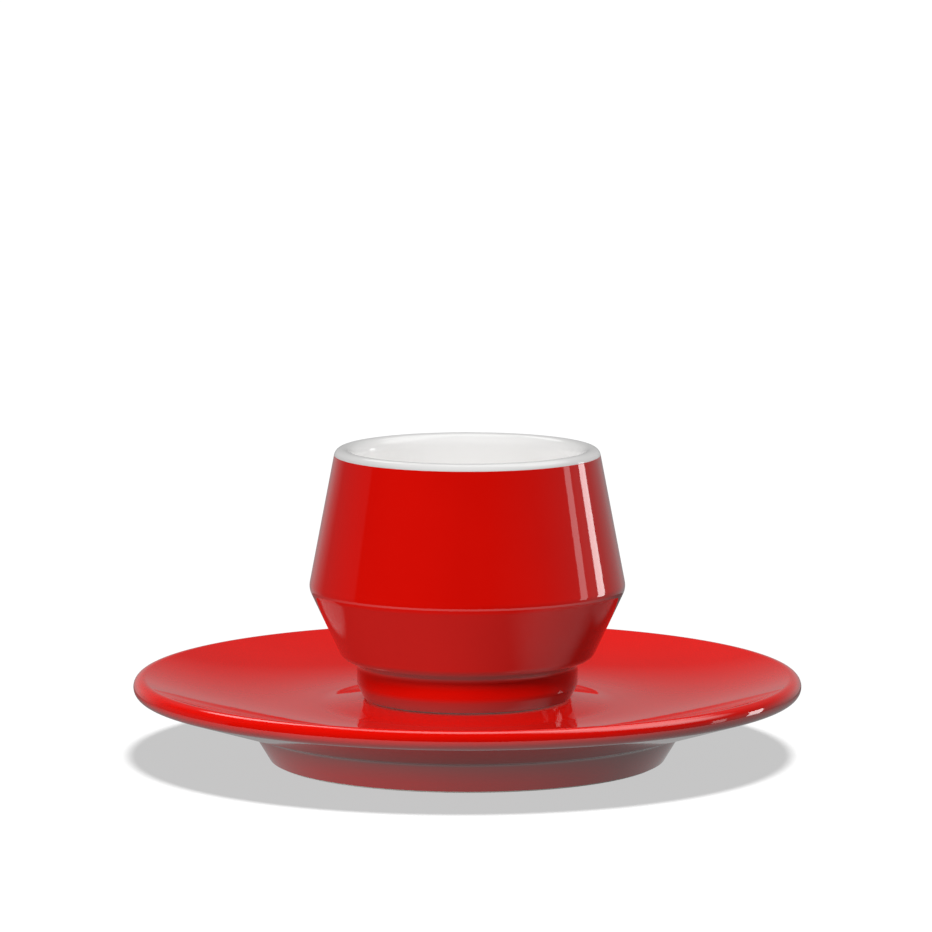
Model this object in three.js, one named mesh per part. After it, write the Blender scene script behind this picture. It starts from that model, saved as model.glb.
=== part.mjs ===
// Espresso cup and saucer: two turned porcelain pieces, each with its coats of coloured glaze.
// Millimetres, +Z up. The saucer's foot ring stands on z = 0 and the axis of both pieces is Z.
import * as THREE from 'three';

// Saucer
const SAUCER_RADIUS = 65;
const SAUCER_RIM_HEIGHT = 16.38;
const SAUCER_RIM_THICKNESS = 3.7;
const SAUCER_FLOOR_HEIGHT = 11.05;
const SAUCER_FLOOR_WIDTH = 3.2;
const SAUCER_BASE_THICKNESS = 4.5;
const SAUCER_FOOT_RADIUS = 38.4;
const SAUCER_FOOT_HEIGHT = 6;
const SAUCER_FOOT_FLARE = 31;
const SAUCER_FOOT_WIDTH = 4.8;
const SAUCER_COVE_ROUNDING = 1.6;
const SAUCER_RECESS_ROUNDING = 2.5;
const SEAT_HEIGHT = 0.75;
const SEAT_MARGIN = 1;
const SEAT_DRAFT = 84;
const SEAT_ROUNDING = 8;
const SEAT_COVE_ROUNDING = 30;

// Cup, with heights above its own foot
const CUP_HEIGHT = 49.05;
const CUP_FOOT_RADIUS = 20;
const CUP_FOOT_WIDTH = 3.4;
const CUP_RECESS_DEPTH = 1.6;
const CUP_RECESS_ROUNDING = 1;
const CUP_COLLAR_RADIUS = 21.53;
const CUP_COLLAR_HEIGHT = 2.85;
const CUP_COLLAR_ROUNDING = 2.4;
const CUP_STEP_RADIUS = 24.58;
const CUP_STEP_HEIGHT = 6.9;
const CUP_STEP_RISE = 1.57;
const CUP_STEP_INNER_ROUNDING = 1.3;
const CUP_STEP_OUTER_ROUNDING = 2.6;
const CUP_BELLY_RADIUS = 30.84;
const CUP_BELLY_HEIGHT = 21.84;
const CUP_BELLY_ROUNDING = 3.5;
const CUP_MOUTH_RADIUS = 25.61;
const CUP_LIP_ROUNDING = 1.6;
const CUP_WALL = 4.2;
const CUP_BASE_THICKNESS = 4;
const CUP_INNER_BELLY_ROUNDING = 9;
const CUP_INNER_FLOOR_ROUNDING = 9;

// Glaze, and the bare foot rings that both pieces stand on
const GLAZE_THICKNESS = 0.3;
const GLAZE_STOP_HEIGHT = 0.25;
const FOOT_DRAFT = 10;
const FOOT_EDGE_ROUNDING = 0.4;

// Fineness: facets around the axis, and how far a facet may leave a rounding
const FACETS = 36;
const CHORD_ERROR = 0.06;

const RED_GLAZE = { color: 0xcc0b00, roughness: 0.08, metalness: 0 };
const WHITE_GLAZE = { color: 0xefedec, roughness: 0.08, metalness: 0 };
const PORCELAIN = { color: 0xe9e4dc, roughness: 0.65, metalness: 0 };

const point = (r, z) => new THREE.Vector2(r, z);
const polar = (angle) => point(Math.cos(angle), Math.sin(angle));
const corner = (at, rounding) => ({ at, rounding });
const slope = (degrees) => Math.tan(THREE.MathUtils.degToRad(degrees));

// Points along an arc, ends included. Angles turn from +r towards +Z.
function arc(center, radius, from, to) {
  const largestStep = 2 * Math.acos(Math.max(0, 1 - CHORD_ERROR / radius));
  const steps = Math.ceil(Math.abs(to - from) / largestStep);
  return Array.from({ length: steps + 1 }, (_, i) =>
    polar(from + ((to - from) * i) / steps).multiplyScalar(radius).add(center));
}

// The arc that rounds a corner between two straight sides. A short side limits its radius.
function roundedCorner(before, { at, rounding }, after) {
  const back = before.clone().sub(at);
  const ahead = after.clone().sub(at);
  const reach = Math.min(back.length(), ahead.length()) / 2;
  back.normalize();
  ahead.normalize();
  const halfAngle = Math.acos(THREE.MathUtils.clamp(back.dot(ahead), -1, 1)) / 2;
  const radius = Math.min(rounding, reach * Math.tan(halfAngle));
  const tangentLength = radius / Math.tan(halfAngle);
  const bisector = back.clone().add(ahead).normalize();
  const center = at.clone().addScaledVector(bisector, radius / Math.sin(halfAngle));
  const first = at.clone().addScaledVector(back, tangentLength).sub(center);
  const last = at.clone().addScaledVector(ahead, tangentLength).sub(center);
  const turn = Math.atan2(first.cross(last), first.dot(last));
  return arc(center, radius, first.angle(), first.angle() + turn);
}

// A line from start to end through corners that are rounded.
function roundedPath(start, corners, end) {
  const stops = [start, ...corners.map((c) => c.at), end];
  const bends = corners.flatMap((c, i) => roundedCorner(stops[i], c, stops[i + 2]));
  return [start, ...bends, end];
}

// A path moved to its left, into the material, with its facets kept parallel.
function inset(path, depth) {
  const normals = path.slice(1).map((p, i) => {
    const along = p.clone().sub(path[i]).normalize();
    return point(-along.y, along.x);
  });
  return path.map((p, i) => {
    const before = normals[Math.max(i - 1, 0)];
    const after = normals[Math.min(i, normals.length - 1)];
    const mitre = before.clone().add(after).divideScalar(1 + before.dot(after));
    return p.clone().addScaledVector(mitre, depth);
  });
}

// Where the line through two points crosses a height.
function atHeight(a, b, z) {
  return point(a.x + ((b.x - a.x) * (z - a.y)) / (b.y - a.y), z);
}

// A solid of revolution. Its profile starts and ends on the axis or closes on itself.
function turned(name, profile, finish) {
  const geometry = new THREE.LatheGeometry(profile, FACETS).rotateX(Math.PI / 2);
  const mesh = new THREE.Mesh(geometry, new THREE.MeshStandardMaterial(finish));
  mesh.name = name;
  return mesh;
}

// The recess inside a foot ring, from the axis outwards and down to where its glaze stops.
function recessSurface(ringInnerRadius, recessHeight, rounding) {
  const top = point(ringInnerRadius - recessHeight * slope(FOOT_DRAFT), recessHeight);
  const stop = point(ringInnerRadius - GLAZE_STOP_HEIGHT * slope(FOOT_DRAFT), GLAZE_STOP_HEIGHT);
  return roundedPath(point(0, recessHeight), [corner(top, rounding)], stop);
}

// The bare underside of a foot ring, between the porcelain of its inner and outer walls.
function bareFoot(innerWall, outerWall) {
  const innerEdge = atHeight(innerWall.at(-2), innerWall.at(-1), 0);
  const outerEdge = atHeight(outerWall[0], outerWall[1], 0);
  const corners = [innerEdge, outerEdge].map((edge) => corner(edge, FOOT_EDGE_ROUNDING));
  return roundedPath(innerWall.at(-1), corners, outerWall[0]).slice(1, -1);
}

// Saucer sizes that follow from the ones above
const seatTop = SAUCER_FLOOR_HEIGHT + SEAT_HEIGHT;
const seatRadius = CUP_FOOT_RADIUS + SEAT_MARGIN;
const seatFootRadius = seatRadius + SEAT_HEIGHT * slope(SEAT_DRAFT);
const lipRadius = SAUCER_RIM_THICKNESS / 2;
const lipCenter = point(SAUCER_RADIUS - lipRadius, SAUCER_RIM_HEIGHT - lipRadius);

// Up the flared foot and out along the underside, which meets the round lip as a tangent.
function saucerOutside() {
  const flare = slope(SAUCER_FOOT_FLARE);
  const stop = point(SAUCER_FOOT_RADIUS + GLAZE_STOP_HEIGHT * flare, GLAZE_STOP_HEIGHT);
  const cove = point(SAUCER_FOOT_RADIUS + SAUCER_FOOT_HEIGHT * flare, SAUCER_FOOT_HEIGHT);
  const toLip = lipCenter.clone().sub(cove);
  const undersideAngle = toLip.angle() - Math.asin(lipRadius / toLip.length());
  const lowerLip = arc(lipCenter, lipRadius, undersideAngle - Math.PI / 2, 0);
  const side = roundedPath(stop, [corner(cove, SAUCER_COVE_ROUNDING)], lowerLip[0]);
  return [...side, ...lowerLip.slice(1)];
}

// Over the lip, down the dish, an arc that flattens into the floor, and up onto the cup's raised seat.
function saucerInside() {
  const floorRadius = seatFootRadius + SAUCER_FLOOR_WIDTH;
  const run = lipCenter.x - floorRadius;
  const rise = lipCenter.y - SAUCER_FLOOR_HEIGHT;
  const dishRadius = (run ** 2 + rise ** 2 - lipRadius ** 2) / (2 * (rise + lipRadius));
  const dishCenter = point(floorRadius, SAUCER_FLOOR_HEIGHT + dishRadius);
  const rimAngle = Math.atan2(run, dishRadius - rise);
  const upperLip = arc(lipCenter, lipRadius, 0, Math.PI / 2 + rimAngle);
  const dish = arc(dishCenter, dishRadius, rimAngle - Math.PI / 2, -Math.PI / 2);
  const seat = roundedPath(dish.at(-1), [
    corner(point(seatFootRadius, SAUCER_FLOOR_HEIGHT), SEAT_COVE_ROUNDING),
    corner(point(seatRadius, seatTop), SEAT_ROUNDING),
  ], point(0, seatTop));
  return [...upperLip, ...dish.slice(1), ...seat.slice(1)];
}

function makeSaucer() {
  const surface = [...saucerOutside(), ...saucerInside().slice(1)];
  const recess = recessSurface(
    SAUCER_FOOT_RADIUS - SAUCER_FOOT_WIDTH, SAUCER_FLOOR_HEIGHT - SAUCER_BASE_THICKNESS,
    SAUCER_RECESS_ROUNDING);
  const porcelain = inset(surface, GLAZE_THICKNESS);
  const recessPorcelain = inset(recess, GLAZE_THICKNESS);
  const body = [...recessPorcelain, ...bareFoot(recessPorcelain, porcelain), ...porcelain];
  const saucer = new THREE.Group();
  saucer.add(
    turned('saucer_body', body, PORCELAIN),
    turned('saucer_glaze', [...porcelain.toReversed(), ...surface], RED_GLAZE),
    turned('saucer_base_glaze', [...recess, ...recessPorcelain.toReversed()], RED_GLAZE),
  );
  return saucer;
}

// Cup sizes that follow from the ones above: the wall's corners and how far it leans in at the mouth
const stepEdge = point(CUP_STEP_RADIUS, CUP_STEP_HEIGHT + CUP_STEP_RISE);
const bellyEdge = point(CUP_BELLY_RADIUS, CUP_BELLY_HEIGHT);
const mouthEdge = point(CUP_MOUTH_RADIUS, CUP_HEIGHT);
const lean = Math.atan2(bellyEdge.x - mouthEdge.x, mouthEdge.y - bellyEdge.y);
const lipCrestRadius = atHeight(bellyEdge, mouthEdge, CUP_HEIGHT - CUP_LIP_ROUNDING).x
  - CUP_LIP_ROUNDING / Math.cos(lean);

// Up from the foot, over the collar, the step and the belly, to the start of the lip.
function cupOutside(lipStart) {
  const taper = (CUP_COLLAR_RADIUS - CUP_FOOT_RADIUS) / CUP_COLLAR_HEIGHT;
  const stop = point(CUP_FOOT_RADIUS + GLAZE_STOP_HEIGHT * taper, GLAZE_STOP_HEIGHT);
  return roundedPath(stop, [
    corner(point(CUP_COLLAR_RADIUS, CUP_COLLAR_HEIGHT), CUP_COLLAR_ROUNDING),
    corner(point(CUP_COLLAR_RADIUS, CUP_STEP_HEIGHT), CUP_STEP_INNER_ROUNDING),
    corner(stepEdge, CUP_STEP_OUTER_ROUNDING),
    corner(bellyEdge, CUP_BELLY_ROUNDING),
  ], lipStart);
}

// Over the lip, down the inside, which is parallel to the outside, and across the floor to the axis.
function cupInside() {
  const innerRounding = (CUP_WALL - CUP_LIP_ROUNDING * (1 - Math.sin(lean))) / (1 + Math.sin(lean));
  const outerCenter = point(lipCrestRadius, CUP_HEIGHT - CUP_LIP_ROUNDING);
  const innerCenter = point(lipCrestRadius, CUP_HEIGHT - innerRounding);
  const outerLip = arc(outerCenter, CUP_LIP_ROUNDING, lean, Math.PI / 2);
  const innerLip = arc(innerCenter, innerRounding, Math.PI / 2, Math.PI + lean);
  const [innerStep, innerBelly] = inset([stepEdge, bellyEdge, mouthEdge], CUP_WALL);
  const floorHeight = CUP_RECESS_DEPTH + CUP_BASE_THICKNESS;
  const bowl = roundedPath(innerLip.at(-1), [
    corner(innerBelly, CUP_INNER_BELLY_ROUNDING),
    corner(atHeight(innerStep, innerBelly, floorHeight), CUP_INNER_FLOOR_ROUNDING),
  ], point(0, floorHeight));
  return [...outerLip, ...innerLip.slice(1), ...bowl.slice(1)];
}

function makeCup() {
  const inside = cupInside();
  const outside = cupOutside(inside[0]);
  const recess = recessSurface(CUP_FOOT_RADIUS - CUP_FOOT_WIDTH, CUP_RECESS_DEPTH, CUP_RECESS_ROUNDING);
  const porcelain = inset([...outside, ...inside.slice(1)], GLAZE_THICKNESS);
  const outerPorcelain = porcelain.slice(0, outside.length);
  const innerPorcelain = porcelain.slice(outside.length - 1);
  const recessPorcelain = inset(recess, GLAZE_THICKNESS);
  const body = [...recessPorcelain, ...bareFoot(recessPorcelain, porcelain), ...porcelain];
  const outerCoat = [...outside, ...outerPorcelain.toReversed(), outside[0]];
  const cup = new THREE.Group();
  cup.position.z = seatTop;
  cup.add(
    turned('cup_body', body, PORCELAIN),
    turned('cup_outer_glaze', outerCoat, RED_GLAZE),
    turned('cup_inner_glaze', [...innerPorcelain.toReversed(), ...inside], WHITE_GLAZE),
    turned('cup_base_glaze', [...recess, ...recessPorcelain.toReversed()], RED_GLAZE),
  );
  return cup;
}

const cupAndSaucer = new THREE.Group();
cupAndSaucer.add(makeSaucer(), makeCup());

export default cupAndSaucer;
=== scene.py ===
# An espresso cup on its saucer: finely turned meshes for the porcelain and its glaze coats, in studio light
# The object's sizes are in millimetres and degrees. The stage, lamps and camera are placed in metres.
import math
from collections import namedtuple

import bpy
from mathutils import Matrix, Vector


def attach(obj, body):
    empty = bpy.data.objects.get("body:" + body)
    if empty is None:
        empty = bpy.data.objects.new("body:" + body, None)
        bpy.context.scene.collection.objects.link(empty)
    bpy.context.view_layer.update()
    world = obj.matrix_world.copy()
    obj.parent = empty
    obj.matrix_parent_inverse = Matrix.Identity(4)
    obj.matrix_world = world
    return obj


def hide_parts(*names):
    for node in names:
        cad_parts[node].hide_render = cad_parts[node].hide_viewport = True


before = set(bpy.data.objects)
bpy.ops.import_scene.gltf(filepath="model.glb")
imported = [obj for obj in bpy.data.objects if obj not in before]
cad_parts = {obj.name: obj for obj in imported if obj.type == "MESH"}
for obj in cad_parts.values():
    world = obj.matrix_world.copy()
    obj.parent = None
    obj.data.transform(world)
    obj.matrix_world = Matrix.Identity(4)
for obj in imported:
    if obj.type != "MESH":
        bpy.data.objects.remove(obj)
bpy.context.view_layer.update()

MM = 0.001

# Saucer
SAUCER_RADIUS = 65
SAUCER_RIM_HEIGHT = 16.38
SAUCER_RIM_THICKNESS = 3.7
SAUCER_FLOOR_HEIGHT = 11.05
SAUCER_FLOOR_WIDTH = 3.2
SAUCER_BASE_THICKNESS = 4.5
SAUCER_FOOT_RADIUS = 38.4
SAUCER_FOOT_HEIGHT = 6
SAUCER_FOOT_FLARE = 31
SAUCER_FOOT_WIDTH = 4.8
SAUCER_COVE_ROUNDING = 1.6
SAUCER_RECESS_ROUNDING = 2.5
SEAT_HEIGHT = 0.75
SEAT_MARGIN = 1
SEAT_DRAFT = 84
SEAT_ROUNDING = 8
SEAT_COVE_ROUNDING = 30

# Cup, with heights above its own foot
CUP_HEIGHT = 49.05
CUP_FOOT_RADIUS = 20
CUP_FOOT_WIDTH = 3.4
CUP_RECESS_DEPTH = 1.6
CUP_RECESS_ROUNDING = 1
CUP_COLLAR_RADIUS = 21.53
CUP_COLLAR_HEIGHT = 2.85
CUP_COLLAR_ROUNDING = 2.4
CUP_STEP_RADIUS = 24.58
CUP_STEP_HEIGHT = 6.9
CUP_STEP_RISE = 1.57
CUP_STEP_INNER_ROUNDING = 1.3
CUP_STEP_OUTER_ROUNDING = 2.6
CUP_BELLY_RADIUS = 30.84
CUP_BELLY_HEIGHT = 21.84
CUP_BELLY_ROUNDING = 3.5
CUP_MOUTH_RADIUS = 25.61
CUP_LIP_ROUNDING = 1.6
CUP_WALL = 4.2
CUP_BASE_THICKNESS = 4
CUP_INNER_BELLY_ROUNDING = 9
CUP_INNER_FLOOR_ROUNDING = 9

# Glaze, and the bare foot rings that both pieces stand on
GLAZE_THICKNESS = 0.3
GLAZE_STOP_HEIGHT = 0.25
GLAZE_ROLL = GLAZE_THICKNESS / 2
GLAZE_SEAM = 0.04
FOOT_DRAFT = 10
FOOT_EDGE_ROUNDING = 0.4

# Fineness of the meshes
SEGMENTS = 192
ARC_STEP = math.radians(5)
LINE_STEP = 2.5
SAME_PLACE = 1e-6

# Camera, placed as the photograph was taken, with its lens and sensor in millimetres
CAMERA_PLACE = (0, -1.1255, 0.20411)
CAMERA_PITCH = 7.432
CAMERA_LENS = 226.05
CAMERA_SENSOR = 36
CAMERA_SHIFT_X = -0.00145

# A place on a turned profile (radius, height), with the way that its surface faces there
Stop = namedtuple("Stop", "at normal")

# How much shade is painted into the glaze in hollows, as far as their reach, under overhangs and at the
# lowest edge of a coat
PaintedShade = namedtuple("PaintedShade", "hollow reach overhang edge")
SAUCER_PAINTED_SHADE = PaintedShade(hollow=0.75, reach=3.2, overhang=0.4, edge=0)
CUP_PAINTED_SHADE = PaintedShade(hollow=0.15, reach=1.2, overhang=0.95, edge=0.3)
RECESS_PAINTED_SHADE = PaintedShade(hollow=0.15, reach=1.2, overhang=0, edge=0)
# The bend, in radians, that gets no painted shade yet, and how far up from its lowest edge a coat is painted
# darker
SHALLOW_HOLLOW = 0.12
EDGE_REACH = 1.7


def polar(angle):
    return Vector((math.cos(angle), math.sin(angle)))


def angle_of(vector):
    return math.atan2(vector.y, vector.x)


def slope(degrees):
    return math.tan(math.radians(degrees))


def straight(start, end):
    """Stops from start to end. The material lies to the left of the way they run."""
    run = end - start
    along = run.normalized()
    facing = Vector((along.y, -along.x))
    steps = max(1, math.ceil(run.length / LINE_STEP))
    return [Stop(start + run * (i / steps), facing) for i in range(steps + 1)]


def arc(center, radius, first, last):
    """Stops along an arc. Angles turn from the radius towards the height."""
    steps = max(1, math.ceil(abs(last - first) / ARC_STEP))
    side = 1 if last > first else -1
    turns = [polar(first + (last - first) * i / steps) for i in range(steps + 1)]
    return [Stop(center + turn * radius, turn * side) for turn in turns]


def joined(*paths):
    """Paths put end to end, with no stop twice in one place."""
    made = []
    for stop in (stop for path in paths for stop in path):
        if not made or (stop.at - made[-1].at).length > SAME_PLACE:
            made.append(stop)
    return made


def rounded_corner(before, at, after, rounding):
    """The arc that rounds a corner between two straight sides. A short side limits its radius."""
    back, ahead = before - at, after - at
    reach = min(back.length, ahead.length) / 2
    half_angle = back.angle(ahead) / 2
    back.normalize()
    ahead.normalize()
    radius = min(rounding, reach * math.tan(half_angle))
    center = at + (back + ahead).normalized() * (radius / math.sin(half_angle))
    first = at + back * (radius / math.tan(half_angle)) - center
    last = at + ahead * (radius / math.tan(half_angle)) - center
    turn = math.atan2(first.x * last.y - first.y * last.x, first.dot(last))
    return arc(center, radius, angle_of(first), angle_of(first) + turn)


def rounded_path(start, corners, end):
    """The line from start to end through corners, each given with its rounding."""
    places = [start, *(at for at, _ in corners), end]
    path, here = [], start
    for i, (at, rounding) in enumerate(corners):
        bend = rounded_corner(places[i], at, places[i + 2], rounding)
        path = joined(path, straight(here, bend[0].at), bend)
        here = bend[-1].at
    return joined(path, straight(here, end))


def inset(path, depth):
    """The same path, moved into the material."""
    return [Stop(stop.at - stop.normal * depth, stop.normal) for stop in path]


def turned_back(path):
    """The same path, run the other way and facing the other side."""
    return [Stop(stop.at, -stop.normal) for stop in reversed(path)]


def at_height(a, b, height):
    """The place at a height on the line through a and b."""
    return a.lerp(b, (height - a.y) / (b.y - a.y))


def coat_end(stop, rounding):
    """The end face of a glaze coat whose surface ends at this stop, rounded on both edges."""
    outwards = Vector((-stop.normal.y, stop.normal.x))
    start = angle_of(stop.normal)
    outer = stop.at - (stop.normal + outwards) * rounding
    inner = stop.at - stop.normal * (GLAZE_THICKNESS - rounding) - outwards * rounding
    quarter = math.pi / 2
    return joined(arc(outer, rounding, start, start + quarter),
                  arc(inner, rounding, start + quarter, start + 2 * quarter))


def coat(surface, start_rounding=None, end_rounding=None):
    """The closed outline of a glaze coat under a surface. An end with no rounding is on the axis."""
    under = turned_back(inset(surface, GLAZE_THICKNESS))
    first, last = surface[0], surface[-1]
    if end_rounding:
        surface, under = surface[:-1], under[1:]
        surface = joined(surface, coat_end(last, end_rounding))
    if start_rounding:
        surface, under = surface[1:], under[:-1]
        back_face = coat_end(Stop(first.at - first.normal * GLAZE_THICKNESS, -first.normal), start_rounding)
        under = joined(under, back_face)
    return joined(surface, under)


def recess_surface(ring_inner_radius, recess_height, rounding):
    """The recess inside a foot ring, from the axis outwards and down to where its glaze stops."""
    draft = slope(FOOT_DRAFT)
    top = Vector((ring_inner_radius - recess_height * draft, recess_height))
    stop = Vector((ring_inner_radius - GLAZE_STOP_HEIGHT * draft, GLAZE_STOP_HEIGHT))
    return rounded_path(Vector((0, recess_height)), [(top, rounding)], stop)


def bare_foot(inner_wall, outer_wall):
    """The bare underside of a foot ring, between the porcelain of its inner and outer walls."""
    inner_edge = at_height(inner_wall[-2].at, inner_wall[-1].at, 0)
    outer_edge = at_height(outer_wall[0].at, outer_wall[1].at, 0)
    corners = [(edge, FOOT_EDGE_ROUNDING) for edge in (inner_edge, outer_edge)]
    return rounded_path(inner_wall[-1].at, corners, outer_wall[0].at)


def porcelain_body(recess, surface):
    """The outline of the porcelain under the glaze of a recess and of all the other surfaces."""
    inner_wall, outer_wall = inset(recess, GLAZE_THICKNESS), inset(surface, GLAZE_THICKNESS)
    return joined(inner_wall, bare_foot(inner_wall, outer_wall), outer_wall)


# Saucer sizes that follow from the ones above
seat_top = SAUCER_FLOOR_HEIGHT + SEAT_HEIGHT
seat_radius = CUP_FOOT_RADIUS + SEAT_MARGIN
seat_foot_radius = seat_radius + SEAT_HEIGHT * slope(SEAT_DRAFT)
lip_radius = SAUCER_RIM_THICKNESS / 2
lip_center = Vector((SAUCER_RADIUS - lip_radius, SAUCER_RIM_HEIGHT - lip_radius))


def saucer_outside():
    """Up the flared foot and out along the underside, which meets the round lip as a tangent."""
    flare = slope(SAUCER_FOOT_FLARE)
    stop = Vector((SAUCER_FOOT_RADIUS + GLAZE_STOP_HEIGHT * flare, GLAZE_STOP_HEIGHT))
    cove = Vector((SAUCER_FOOT_RADIUS + SAUCER_FOOT_HEIGHT * flare, SAUCER_FOOT_HEIGHT))
    to_lip = lip_center - cove
    underside_angle = angle_of(to_lip) - math.asin(lip_radius / to_lip.length)
    lower_lip = arc(lip_center, lip_radius, underside_angle - math.pi / 2, 0)
    return joined(rounded_path(stop, [(cove, SAUCER_COVE_ROUNDING)], lower_lip[0].at), lower_lip)


def saucer_inside():
    """Over the lip, down the dish, an arc that flattens into the floor, and up onto the raised seat."""
    floor_radius = seat_foot_radius + SAUCER_FLOOR_WIDTH
    run, rise = lip_center.x - floor_radius, lip_center.y - SAUCER_FLOOR_HEIGHT
    dish_radius = (run ** 2 + rise ** 2 - lip_radius ** 2) / (2 * (rise + lip_radius))
    dish_center = Vector((floor_radius, SAUCER_FLOOR_HEIGHT + dish_radius))
    rim_angle = math.atan2(run, dish_radius - rise)
    upper_lip = arc(lip_center, lip_radius, 0, math.pi / 2 + rim_angle)
    dish_steps = math.ceil(dish_radius * rim_angle / LINE_STEP)
    turns = [rim_angle * (1 - i / dish_steps) - math.pi / 2 for i in range(dish_steps + 1)]
    dish = [Stop(dish_center + polar(turn) * dish_radius, -polar(turn)) for turn in turns]
    seat = rounded_path(dish[-1].at, [
        (Vector((seat_foot_radius, SAUCER_FLOOR_HEIGHT)), SEAT_COVE_ROUNDING),
        (Vector((seat_radius, seat_top)), SEAT_ROUNDING),
    ], Vector((0, seat_top)))
    return joined(upper_lip, dish, seat)


def saucer_profiles():
    """The outlines of the saucer's porcelain and glaze coats."""
    surface = joined(saucer_outside(), saucer_inside())
    recess = recess_surface(SAUCER_FOOT_RADIUS - SAUCER_FOOT_WIDTH,
                            SAUCER_FLOOR_HEIGHT - SAUCER_BASE_THICKNESS, SAUCER_RECESS_ROUNDING)
    return {
        "saucer_body": porcelain_body(recess, surface),
        "saucer_glaze": coat(surface, start_rounding=GLAZE_ROLL),
        "saucer_base_glaze": coat(recess, end_rounding=GLAZE_ROLL),
    }


# Cup sizes that follow from the ones above: the wall's corners and how far it leans in at the mouth
step_edge = Vector((CUP_STEP_RADIUS, CUP_STEP_HEIGHT + CUP_STEP_RISE))
belly_edge = Vector((CUP_BELLY_RADIUS, CUP_BELLY_HEIGHT))
mouth_edge = Vector((CUP_MOUTH_RADIUS, CUP_HEIGHT))
lean = math.atan2(belly_edge.x - mouth_edge.x, mouth_edge.y - belly_edge.y)
lip_crest_radius = (at_height(belly_edge, mouth_edge, CUP_HEIGHT - CUP_LIP_ROUNDING).x
                    - CUP_LIP_ROUNDING / math.cos(lean))


def cup_outside(lip_start):
    """Up from the foot, over the collar, the step and the belly, to the start of the lip."""
    taper = (CUP_COLLAR_RADIUS - CUP_FOOT_RADIUS) / CUP_COLLAR_HEIGHT
    stop = Vector((CUP_FOOT_RADIUS + GLAZE_STOP_HEIGHT * taper, GLAZE_STOP_HEIGHT))
    return rounded_path(stop, [
        (Vector((CUP_COLLAR_RADIUS, CUP_COLLAR_HEIGHT)), CUP_COLLAR_ROUNDING),
        (Vector((CUP_COLLAR_RADIUS, CUP_STEP_HEIGHT)), CUP_STEP_INNER_ROUNDING),
        (step_edge, CUP_STEP_OUTER_ROUNDING),
        (belly_edge, CUP_BELLY_ROUNDING),
    ], lip_start)


def cup_inside():
    """Over the lip, down the inside, which is parallel to the outside, and across the floor to the axis."""
    inner_rounding = (CUP_WALL - CUP_LIP_ROUNDING * (1 - math.sin(lean))) / (1 + math.sin(lean))
    outer_lip = arc(Vector((lip_crest_radius, CUP_HEIGHT - CUP_LIP_ROUNDING)),
                    CUP_LIP_ROUNDING, lean, math.pi / 2)
    inner_lip = arc(Vector((lip_crest_radius, CUP_HEIGHT - inner_rounding)),
                    inner_rounding, math.pi / 2, math.pi + lean)
    upper_wall = straight(belly_edge, mouth_edge)[0].normal * CUP_WALL
    lower_wall = straight(step_edge, belly_edge)[0].normal * CUP_WALL
    share = upper_wall.dot(lower_wall) / CUP_WALL ** 2
    inner_belly = belly_edge - (upper_wall + lower_wall) / (1 + share)
    inner_step = step_edge - lower_wall
    floor_height = CUP_RECESS_DEPTH + CUP_BASE_THICKNESS
    bowl = rounded_path(inner_lip[-1].at, [
        (inner_belly, CUP_INNER_BELLY_ROUNDING),
        (at_height(inner_step, inner_belly, floor_height), CUP_INNER_FLOOR_ROUNDING),
    ], Vector((0, floor_height)))
    return joined(outer_lip, inner_lip, bowl)


def cup_profiles():
    """The outlines of the cup's porcelain and glaze coats."""
    inside = cup_inside()
    outside = cup_outside(inside[0].at)
    recess = recess_surface(CUP_FOOT_RADIUS - CUP_FOOT_WIDTH, CUP_RECESS_DEPTH, CUP_RECESS_ROUNDING)
    return {
        "cup_body": porcelain_body(recess, joined(outside, inside)),
        "cup_outer_glaze": coat(outside, GLAZE_ROLL, GLAZE_SEAM),
        "cup_inner_glaze": coat(inside, start_rounding=GLAZE_SEAM),
        "cup_base_glaze": coat(recess, end_rounding=GLAZE_ROLL),
    }


def painted_shade(profile, shading):
    """How much shade is painted into the glaze at each stop, from 0 for none to 1."""
    lengths, turns = [0.0], [0.0]
    for before, here in zip(profile, profile[1:]):
        lengths.append(lengths[-1] + (here.at - before.at).length)
        turn = before.normal.y * here.normal.x - before.normal.x * here.normal.y
        turns.append(max(0.0, math.asin(max(-1.0, min(1.0, turn)))))
    lowest = min(stop.at.y for stop in profile)
    shade_levels = []
    for place, stop in zip(lengths, profile):
        hollow = sum(turn * math.exp(-((place - other) / shading.reach) ** 2)
                     for other, turn in zip(lengths, turns))
        hollow = max(0.0, hollow - SHALLOW_HOLLOW)
        overhang = max(0.0, -stop.normal.y) ** 2
        edge = math.exp(-((stop.at.y - lowest) / EDGE_REACH) ** 2)
        # Shade is painted darker in hollows, on downward faces and near the coat's lowest edge
        depth = shading.hollow * hollow + shading.overhang * overhang + shading.edge * edge
        shade_levels.append(min(1.0, depth))
    return shade_levels


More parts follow.
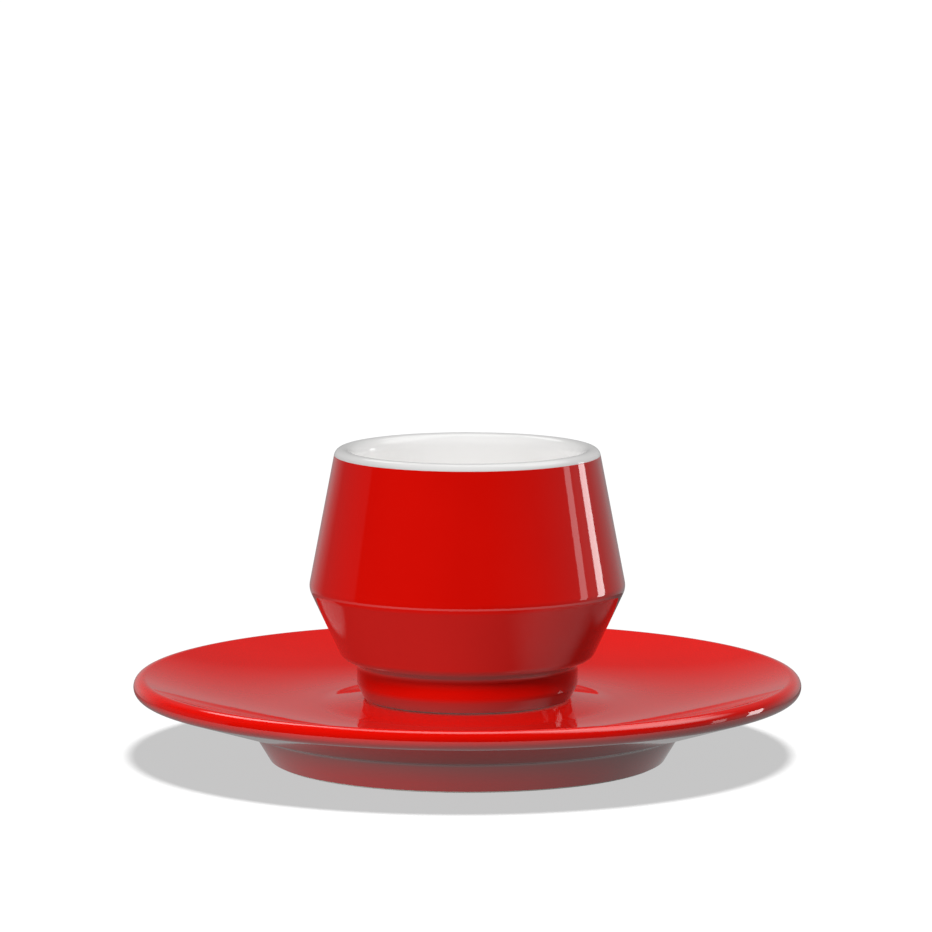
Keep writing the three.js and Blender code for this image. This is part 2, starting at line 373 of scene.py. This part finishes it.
def turned(name, profile, base_height, shading):
    """A mesh turned round the axis, with the profile's own normals and the shade painted into its glaze."""
    vertices, normals, shade, faces, rings = [], [], [], [], []
    around = [polar(2 * math.pi * k / SEGMENTS) for k in range(SEGMENTS)]
    for stop, depth in zip(profile, painted_shade(profile, shading)):
        on_axis = abs(stop.at.x) < SAME_PLACE
        spokes = [Vector((0, 0))] if on_axis else around
        rings.append([len(vertices) + k % len(spokes) for k in range(SEGMENTS + 1)])
        height = (stop.at.y + base_height) * MM
        vertices += [(spoke.x * stop.at.x * MM, spoke.y * stop.at.x * MM, height) for spoke in spokes]
        normals += [(spoke.x * stop.normal.x, spoke.y * stop.normal.x, stop.normal.y) for spoke in spokes]
        shade += [depth] * len(spokes)
    closed = abs(profile[0].at.x) > SAME_PLACE
    for low, high in zip(rings, rings[1:] + rings[:1] if closed else rings[1:]):
        for k in range(SEGMENTS):
            corners = [low[k], low[k + 1], high[k + 1], high[k]]
            faces.append(list(dict.fromkeys(corners)))
    faces = [face for face in faces if len(face) > 2]
    mesh = bpy.data.meshes.new(name)
    mesh.from_pydata(vertices, [], faces)
    mesh.shade_smooth()
    mesh.normals_split_custom_set_from_vertices(normals)
    mesh.attributes.new("painted_shade", "FLOAT", "POINT").data.foreach_set("value", shade)
    piece = bpy.data.objects.new(name, mesh)
    bpy.context.scene.collection.objects.link(piece)
    return piece


def add_node(tree, kind, inputs=None, **settings):
    """A new node, with its settings, and with values or other nodes' outputs on its inputs."""
    made = tree.nodes.new(kind)
    for name, value in settings.items():
        setattr(made, name, value)
    for socket, value in (inputs or {}).items():
        if isinstance(value, bpy.types.NodeSocket):
            tree.links.new(value, made.inputs[socket])
        else:
            made.inputs[socket].default_value = value
    return made


def calculate(tree, operation, *values, clamp=False):
    """A sum on numbers or other nodes' outputs."""
    made = add_node(tree, "ShaderNodeMath", dict(enumerate(values)), operation=operation, use_clamp=clamp)
    return made.outputs[0]


def between(tree, value, low, high, start=0, end=1, **settings):
    """A number from low to high, as value goes from start to end."""
    inputs = {"Value": value, "From Min": start, "From Max": end, "To Min": low, "To Max": high}
    return add_node(tree, "ShaderNodeMapRange", inputs, **settings).outputs["Result"]


# The sockets of a mix node that are for colours
MIX_SHARE, MIX_FIRST, MIX_SECOND, MIX_RESULT = 0, 6, 7, 2


def blend(tree, share, first, second):
    """The first colour where share is 0 and the second where it is 1."""
    inputs = {MIX_SHARE: share, MIX_FIRST: first, MIX_SECOND: second}
    return add_node(tree, "ShaderNodeMix", inputs, data_type="RGBA").outputs[MIX_RESULT]


def noise(tree, places, pattern):
    """A noise pattern over an object, from 0 to 1."""
    inputs = {"Vector": places, "Scale": pattern.scale, "Detail": pattern.detail}
    return add_node(tree, "ShaderNodeTexNoise", inputs).outputs["Fac"]


def roughen(tree, shader, heights, relief):
    """Fine relief on a shader's surface."""
    inputs = {"Height": heights, "Strength": relief.strength, "Distance": relief.depth}
    bump = add_node(tree, "ShaderNodeBump", inputs)
    tree.links.new(bump.outputs["Normal"], shader.inputs["Normal"])


def grey(level):
    return (level, level, level, 1)


# A noise pattern, finer as its scale grows, and a relief with its depth in metres
Pattern = namedtuple("Pattern", "scale detail")
Relief = namedtuple("Relief", "strength depth")

GLAZE_CLOUDS = Pattern(scale=55, detail=4)
GLAZE_POLISH = Pattern(scale=260, detail=3)
GLAZE_RIPPLE = Pattern(scale=420, detail=1)
GLAZE_RELIEF = Relief(strength=0.05, depth=0.0001)
GLAZE_ROUGHNESS = (0.025, 0.06)
RED_IOR = 1.8
RED_THIN = (0.72, 0.0040, 0.0010, 1)
RED_DEEP = (0.64, 0.0026, 0.0004, 1)
# The grey-red painted in as shade in hollows, under overhangs and at the lowest edge
RED_SHADED = (0.14, 0.085, 0.08, 1)
WHITE_IOR = 1.5
WHITE_THIN = (0.87, 0.86, 0.85, 1)
WHITE_DEEP = (0.84, 0.835, 0.83, 1)
# The grey-white painted in as shade on the white glaze
WHITE_SHADED = (0.82, 0.82, 0.815, 1)

PORCELAIN_GRAIN = Pattern(scale=2600, detail=3)
PORCELAIN_PATCHES = Pattern(scale=140, detail=5)
PORCELAIN_RELIEF = Relief(strength=0.4, depth=0.00005)
PORCELAIN_ROUGHNESS = (0.55, 0.85)
PORCELAIN_PALE = (0.83, 0.79, 0.73, 1)
PORCELAIN_DULL = (0.66, 0.61, 0.54, 1)


def new_material(name):
    """A material with its node tree, its shader and the places on the object."""
    material = bpy.data.materials.new(name)
    material.use_nodes = True
    tree = material.node_tree
    places = add_node(tree, "ShaderNodeTexCoord").outputs["Object"]
    return material, tree, tree.nodes["Principled BSDF"], places


def glaze(name, thin, deep, shade_color, ior):
    """Glossy glaze: greyer and darker where shade is painted in, clouded a little, with a faint ripple and a
    varied polish.
    """
    material, tree, shader, places = new_material(name)
    shade = add_node(tree, "ShaderNodeAttribute", attribute_name="painted_shade").outputs["Fac"]
    color = blend(tree, noise(tree, places, GLAZE_CLOUDS), thin, deep)
    tree.links.new(blend(tree, shade, color, shade_color), shader.inputs["Base Color"])
    polish = noise(tree, places, GLAZE_POLISH)
    tree.links.new(between(tree, polish, *GLAZE_ROUGHNESS), shader.inputs["Roughness"])
    roughen(tree, shader, noise(tree, places, GLAZE_RIPPLE), GLAZE_RELIEF)
    shader.inputs["IOR"].default_value = ior
    return material


def bare_porcelain(name, pale, dull):
    """Unglazed porcelain: matt and finely grained, with a few darker grains."""
    material, tree, shader, places = new_material(name)
    grain = noise(tree, places, PORCELAIN_GRAIN)
    patches = noise(tree, places, PORCELAIN_PATCHES)
    mixed = calculate(tree, "MULTIPLY", grain, patches, clamp=True)
    tree.links.new(blend(tree, mixed, pale, dull), shader.inputs["Base Color"])
    tree.links.new(between(tree, patches, *PORCELAIN_ROUGHNESS), shader.inputs["Roughness"])
    roughen(tree, shader, grain, PORCELAIN_RELIEF)
    return material


materials = {
    "red_glaze": glaze("red_glaze", RED_THIN, RED_DEEP, RED_SHADED, RED_IOR),
    "white_glaze": glaze("white_glaze", WHITE_THIN, WHITE_DEEP, WHITE_SHADED, WHITE_IOR),
    "porcelain": bare_porcelain("porcelain", PORCELAIN_PALE, PORCELAIN_DULL),
}
finishes = {
    "saucer_body": "porcelain",
    "saucer_glaze": "red_glaze",
    "saucer_base_glaze": "red_glaze",
    "cup_body": "porcelain",
    "cup_outer_glaze": "red_glaze",
    "cup_inner_glaze": "white_glaze",
    "cup_base_glaze": "red_glaze",
}


def make_pieces(body, profiles, base_height, shading):
    """One fine piece for each solid of a body, in its place."""
    made = {}
    for node, profile in profiles.items():
        # Recess glazes get painted shade only in their hollows
        shade = RECESS_PAINTED_SHADE if node.endswith("base_glaze") else shading
        piece = turned("fine_" + node, profile, base_height, shade)
        piece.data.materials.append(materials[finishes[node]])
        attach(piece, body)
        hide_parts(node)
        made[node] = piece
    return made


saucer_pieces = make_pieces("saucer", saucer_profiles(), 0, SAUCER_PAINTED_SHADE)
cup_pieces = make_pieces("cup", cup_profiles(), seat_top, CUP_PAINTED_SHADE)

# No red light from the saucer falls on the cup
for saucer_piece in saucer_pieces.values():
    saucer_piece.visible_diffuse = False

# The stage: a floor that only the camera sees, and just under it a glowing card that the camera doesn't see
DISC_SIDES = 96
FLOOR_REACH = 12
FLOOR_DROP = 0.00002
FLOOR_SHADOW_LEVEL = 0.535
FLOOR_LIT_LEVEL = 0.48
FLOOR_ALBEDO = 0.08
CARD_RADIUS = 0.16
CARD_DROP = 0.0002
CARD_MIRRORED = 0.39
CARD_LIGHT = 0.04
CARD_FRONT_GAIN = 8.5
CARD_RIGHT_GAIN = 1.5
CARD_LEAST_SHARE = 0.4
CARD_MOST_SHARE = 1.6


def stage_disc(name, radius, height):
    """A flat disc that is no part of the object."""
    mesh = bpy.data.meshes.new(name)
    rim = [polar(2 * math.pi * k / DISC_SIDES) * radius for k in range(DISC_SIDES)]
    mesh.from_pydata([(p.x, p.y, height) for p in rim], [], [list(range(DISC_SIDES))])
    disc = bpy.data.objects.new(name, mesh)
    bpy.context.scene.collection.objects.link(disc)
    return disc


def empty_material(name):
    """A material with nothing in it yet, its node tree and the socket for its surface."""
    material = bpy.data.materials.new(name)
    material.use_nodes = True
    tree = material.node_tree
    tree.nodes.clear()
    output = add_node(tree, "ShaderNodeOutputMaterial")
    return material, tree, output.inputs["Surface"]


def make_floor():
    """White where it is lit, and a flat grey in the object's shadow. It can be seen through from below."""
    floor = stage_disc("floor", FLOOR_REACH, -FLOOR_DROP)
    material, tree, surface = empty_material("floor")
    glow = add_node(tree, "ShaderNodeEmission", {"Strength": FLOOR_SHADOW_LEVEL})
    lit = add_node(tree, "ShaderNodeBsdfDiffuse", {"Color": grey(FLOOR_ALBEDO)})
    both = add_node(tree, "ShaderNodeAddShader", {0: glow.outputs[0], 1: lit.outputs[0]})
    below = add_node(tree, "ShaderNodeNewGeometry").outputs["Backfacing"]
    clear = add_node(tree, "ShaderNodeBsdfTransparent")
    seen = add_node(tree, "ShaderNodeMixShader", {0: below, 1: both.outputs[0], 2: clear.outputs[0]})
    tree.links.new(seen.outputs[0], surface)
    floor.data.materials.append(material)
    floor.visible_diffuse = False
    floor.visible_glossy = False
    floor.visible_shadow = False
    return floor


def make_card():
    """A white card under the object, brighter to the front and right, for its light and its reflection."""
    card = stage_disc("card", CARD_RADIUS, -CARD_DROP)
    material, tree, surface = empty_material("card")
    places = add_node(tree, "ShaderNodeTexCoord").outputs["Object"]
    x, y, _ = add_node(tree, "ShaderNodeSeparateXYZ", {0: places}).outputs
    mirrored = add_node(tree, "ShaderNodeLightPath").outputs["Is Glossy Ray"]
    level = between(tree, mirrored, CARD_LIGHT, CARD_MIRRORED)
    share = calculate(tree, "MULTIPLY_ADD", y, -CARD_FRONT_GAIN, 1.0)
    share = calculate(tree, "MULTIPLY_ADD", x, CARD_RIGHT_GAIN, share)
    share = calculate(tree, "MAXIMUM", share, CARD_LEAST_SHARE)
    share = calculate(tree, "MINIMUM", share, CARD_MOST_SHARE)
    level = calculate(tree, "MULTIPLY", level, share)
    glow = add_node(tree, "ShaderNodeEmission", {"Strength": level})
    tree.links.new(glow.outputs[0], surface)
    card.data.materials.append(material)
    card.visible_camera = False
    card.visible_shadow = False


# Studio light. A direction is an azimuth, 0 towards the camera and 90 to its right, and an elevation.
FLOOR_LIGHT_FROM = (16, 70)
FLOOR_LIGHT_LEVEL = FLOOR_LIT_LEVEL / FLOOR_ALBEDO / math.sin(math.radians(FLOOR_LIGHT_FROM[1]))
# Suns that aren't mirrored, each for one group of pieces. Level 1 shows a surface's own colour.
Sun = namedtuple("Sun", "name group place level spread shadow", defaults=(0, False))
SUNS = [
    Sun("cup_key_light", "cup", (-6, 46), 0.84, spread=20, shadow=True),
    Sun("cup_under_light", "cup_wall", (-72, -60), 0.6),
    Sun("cup_back_light", "cup_wall", (180, 30), 0.5),
    Sun("saucer_key_light", "saucer", (-30, 56), 0.51),
    Sun("saucer_top_light", "saucer", (0, 90), 0.13),
    Sun("saucer_halo_light", "saucer", (0, 90), 0.27, spread=90, shadow=True),
    Sun("saucer_back_light", "saucer", (180, 45), 0.08),
    Sun("saucer_foot_light", "saucer", (-45, -3), 0.35),
    Sun("recess_light", "recesses", (0, -90), 0.5),
    Sun("bowl_left_light", "bowl", (-50, 15), 0.40),
    Sun("bowl_right_light", "bowl", (55, 15), 0.36),
    Sun("bowl_top_light", "bowl", (0, 90), 0.26),
    Sun("floor_light", "floor", FLOOR_LIGHT_FROM, FLOOR_LIGHT_LEVEL, spread=11, shadow=True),
]
# Strip lights that are seen only mirrored: the directions of their ends and their width in degrees
Strip = namedtuple("Strip", "name low high width level")
STRIPS = [
    Strip("near_strip", (92, -4), (95.5, 15), width=7, level=0.9),
    Strip("far_strip", (112, -4), (117.5, 15), width=9, level=3.1),
]
STRIP_DISTANCE = 2.0
# Watts for each square metre of a strip of level 1
STRIP_POWER = 4
# The even fill for matt surfaces, which ends softly at the horizon
SKY_LEVEL = 0.4
SKY_EDGE = 0.05
# The room that glossy surfaces mirror: levels by angle from the back, with 90 to the right
ROOM_LEVELS = [(-180, 0.01), (-91, 0.01), (-89, 0.064), (-50, 0.088), (-25, 0.424), (0, 0.304), (25, 0.44),
               (55, 0.208), (75, 0.24), (90, 0.12), (120, 0.056), (165, 0.01)]
# The room fades upwards to a share of its level, between two heights on a sphere of radius 1
ROOM_FADE_START = 0.1
ROOM_FADE_END = 0.4
ROOM_UPPER_SHARE = 0.3
# Soft glows in the room: where they are, their level, and at how many degrees they start and end fading
Glow = namedtuple("Glow", "place level core edge")
GLOWS = [Glow((180, 72), 1.6, 12, 20), Glow((-152, 47), 2.1, 8, 12), Glow((152, 50), 1.1, 6, 11),
         Glow((104, 56), 2.0, 6, 28)]


def towards(azimuth, elevation):
    """The unit vector that points in a direction."""
    a, e = math.radians(azimuth), math.radians(elevation)
    return Vector((math.sin(a) * math.cos(e), -math.cos(a) * math.cos(e), math.sin(e)))


def add_lamp(name, data, matrix, receivers):
    """A lamp that lights only its receivers."""
    lamp = bpy.data.objects.new(name, data)
    lamp.matrix_world = matrix
    lamp.visible_camera = False
    bpy.context.scene.collection.objects.link(lamp)
    lamp.light_linking.receiver_collection = bpy.data.collections.new("lit_by_" + name)
    for receiver in receivers:
        lamp.light_linking.receiver_collection.objects.link(receiver)
    return lamp


def add_sun(sun, receivers):
    data = bpy.data.lights.new(sun.name, "SUN")
    data.energy = sun.level * math.pi
    data.angle = math.radians(sun.spread)
    data.use_shadow = sun.shadow
    matrix = towards(*sun.place).to_track_quat("Z", "Y").to_matrix().to_4x4()
    lamp = add_lamp(sun.name, data, matrix, receivers)
    lamp.visible_glossy = False


def add_strip(strip, receivers):
    low, high = (towards(*end) * STRIP_DISTANCE for end in (strip.low, strip.high))
    middle, run = (low + high) / 2, high - low
    back, up = middle.normalized(), run.normalized()
    data = bpy.data.lights.new(strip.name, "AREA")
    data.shape = "RECTANGLE"
    data.size = 2 * middle.length * math.tan(math.radians(strip.width / 2))
    data.size_y = run.length
    data.energy = STRIP_POWER * strip.level * data.size * data.size_y
    matrix = Matrix((up.cross(back), up, back)).transposed().to_4x4()
    matrix.translation = middle
    lamp = add_lamp(strip.name, data, matrix, receivers)
    lamp.visible_diffuse = False


def make_world():
    """White to the camera, an even fill to matt surfaces, and a dim room with a pale back to glossy ones."""
    world = bpy.data.worlds.new("studio")
    bpy.context.scene.world = world
    world.use_nodes = True
    tree = world.node_tree
    tree.nodes.clear()
    way = add_node(tree, "ShaderNodeTexCoord").outputs["Generated"]
    x, y, z = add_node(tree, "ShaderNodeSeparateXYZ", {0: way}).outputs
    turn = calculate(tree, "ARCTAN2", x, y)
    place = between(tree, turn, 0, 1, -math.pi, math.pi)
    room = add_node(tree, "ShaderNodeValToRGB", {"Fac": place})
    ramp = room.color_ramp.elements
    while len(ramp) < len(ROOM_LEVELS):
        ramp.new(0.5)
    for stop, (angle, level) in zip(ramp, ROOM_LEVELS):
        stop.position = angle / 360 + 0.5
        stop.color = grey(level)
    fade = between(tree, z, 1, ROOM_UPPER_SHARE, ROOM_FADE_START, ROOM_FADE_END)
    mirrored = calculate(tree, "MULTIPLY", room.outputs["Color"], fade)
    for glow in GLOWS:
        nearness = add_node(tree, "ShaderNodeVectorMath", {0: way, 1: towards(*glow.place)},
                            operation="DOT_PRODUCT").outputs["Value"]
        edge, core = (math.cos(math.radians(angle)) for angle in (glow.edge, glow.core))
        soft = between(tree, nearness, 0, glow.level, edge, core, interpolation_type="SMOOTHSTEP")
        mirrored = calculate(tree, "ADD", mirrored, soft)
    rays = add_node(tree, "ShaderNodeLightPath").outputs
    sky = between(tree, z, 0, SKY_LEVEL, -SKY_EDGE, SKY_EDGE)
    level = between(tree, rays["Is Camera Ray"], sky, 1)
    level = blend(tree, rays["Is Glossy Ray"], level, mirrored)
    background = add_node(tree, "ShaderNodeBackground", {"Color": grey(1), "Strength": level})
    output = add_node(tree, "ShaderNodeOutputWorld")
    tree.links.new(background.outputs[0], output.inputs["Surface"])


def make_lights(floor):
    """The room, the suns for their groups of pieces, and the strips for all pieces."""
    make_world()
    groups = {
        "cup": [piece for node, piece in cup_pieces.items() if node != "cup_inner_glaze"],
        "cup_wall": [cup_pieces["cup_outer_glaze"]],
        "saucer": list(saucer_pieces.values()),
        "recesses": [saucer_pieces["saucer_base_glaze"], cup_pieces["cup_base_glaze"]],
        "bowl": [cup_pieces["cup_inner_glaze"]],
        "floor": [floor],
    }
    for sun in SUNS:
        add_sun(sun, groups[sun.group])
    for strip in STRIPS:
        add_strip(strip, [*saucer_pieces.values(), *cup_pieces.values()])


make_lights(make_floor())
make_card()


def make_camera():
    """The photograph's view."""
    data = bpy.data.cameras.new("camera")
    data.sensor_width = CAMERA_SENSOR
    data.lens = CAMERA_LENS
    data.shift_x = CAMERA_SHIFT_X
    camera = bpy.data.objects.new("camera", data)
    camera.location = CAMERA_PLACE
    camera.rotation_euler = (math.radians(90 - CAMERA_PITCH), 0, 0)
    bpy.context.scene.collection.objects.link(camera)
    bpy.context.scene.camera = camera


make_camera()
bpy.context.scene.view_settings.view_transform = "Standard"
